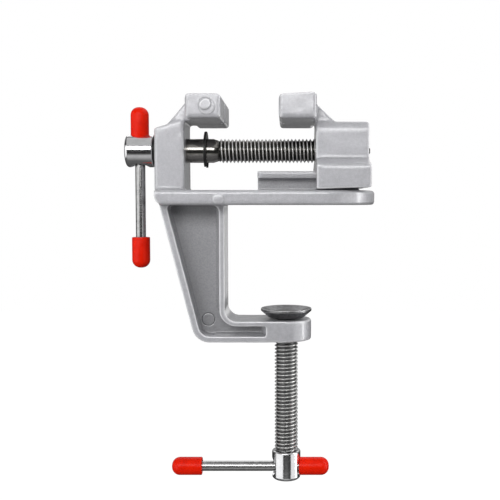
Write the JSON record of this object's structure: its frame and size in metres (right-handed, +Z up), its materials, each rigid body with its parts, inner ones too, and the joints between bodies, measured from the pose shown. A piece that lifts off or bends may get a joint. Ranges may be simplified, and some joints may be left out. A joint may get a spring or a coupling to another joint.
{
  "type": "clamp-on table vise",
  "caption": "Small cast aluminium vise whose C-shaped leg and screw pad clamp it to a table edge; a second screw slides the moving jaw along a T rail, and capped tommy bars turn both screws.",
  "frame": {"origin": "on the clamp screw's axis, at the beam's underside, which rests on the table top", "axes": "+X along the jaw screw away from its head, +Y across the jaws, +Z up"},
  "size_m": [0.0837, 0.0374, 0.1298],
  "materials": {
    "cast_aluminium": "satin die casting",
    "dark_plated_steel": "dark nickel plate",
    "plated_steel": "bright zinc plate",
    "polished_chrome": "polished",
    "black_steel": "black oxide",
    "gunmetal_steel": "dark nickel plate",
    "red_vinyl": "soft dipped vinyl"
  },
  "bodies": {
    "frame": {"frame_casting": "cast_aluminium"},
    "moving_jaw": {"moving_jaw": "cast_aluminium"},
    "jaw_spindle": {"jaw_screw": "dark_plated_steel", "jaw_screw_head": "polished_chrome", "thrust_washer": "black_steel", "retaining_ring": "black_steel"},
    "jaw_handle": {"jaw_handle_bar": "plated_steel", "jaw_handle_upper_cap": "red_vinyl", "jaw_handle_lower_cap": "red_vinyl"},
    "clamp_pad": {"clamp_pad": "gunmetal_steel"},
    "clamp_spindle": {"clamp_screw": "plated_steel", "clamp_screw_head": "polished_chrome"},
    "clamp_handle": {"clamp_handle_bar": "plated_steel", "clamp_handle_left_cap": "red_vinyl", "clamp_handle_right_cap": "red_vinyl"}
  },
  "joints": [
    {"name": "jaw_screw_turn", "type": "hinge", "parent": "frame", "child": "jaw_spindle", "pos_m": [0, 0, 0.0182], "axis": [1, 0, 0], "range_deg": [-2304, 5184]},
    {"name": "jaw_travel", "type": "slide", "parent": "frame", "child": "moving_jaw", "axis": [1, 0, 0], "range_m": [-0.0181, 0.0081]},
    {"name": "jaw_handle_slide", "type": "slide", "parent": "jaw_spindle", "child": "jaw_handle", "axis": [0, 0, 1], "range_m": [0, 0.0248]},
    {"name": "clamp_travel", "type": "slide", "parent": "frame", "child": "clamp_pad", "axis": [0, 0, 1], "range_m": [0, 0.0341]},
    {"name": "clamp_screw_turn", "type": "hinge", "parent": "clamp_pad", "child": "clamp_spindle", "pos_m": [0, 0, -0.06], "axis": [0, 0, 1], "range_deg": [0, 9792]},
    {"name": "clamp_handle_slide", "type": "slide", "parent": "clamp_spindle", "child": "clamp_handle", "axis": [1, 0, 0], "range_m": [-0.00075, 0.0255]}
  ],
  "couplings": [
    {"joint": "jaw_travel", "follows": "jaw_screw_turn", "m_per_rad": -0.00019894},
    {"joint": "clamp_travel", "follows": "clamp_screw_turn", "m_per_rad": 0.00019894}
  ]
}
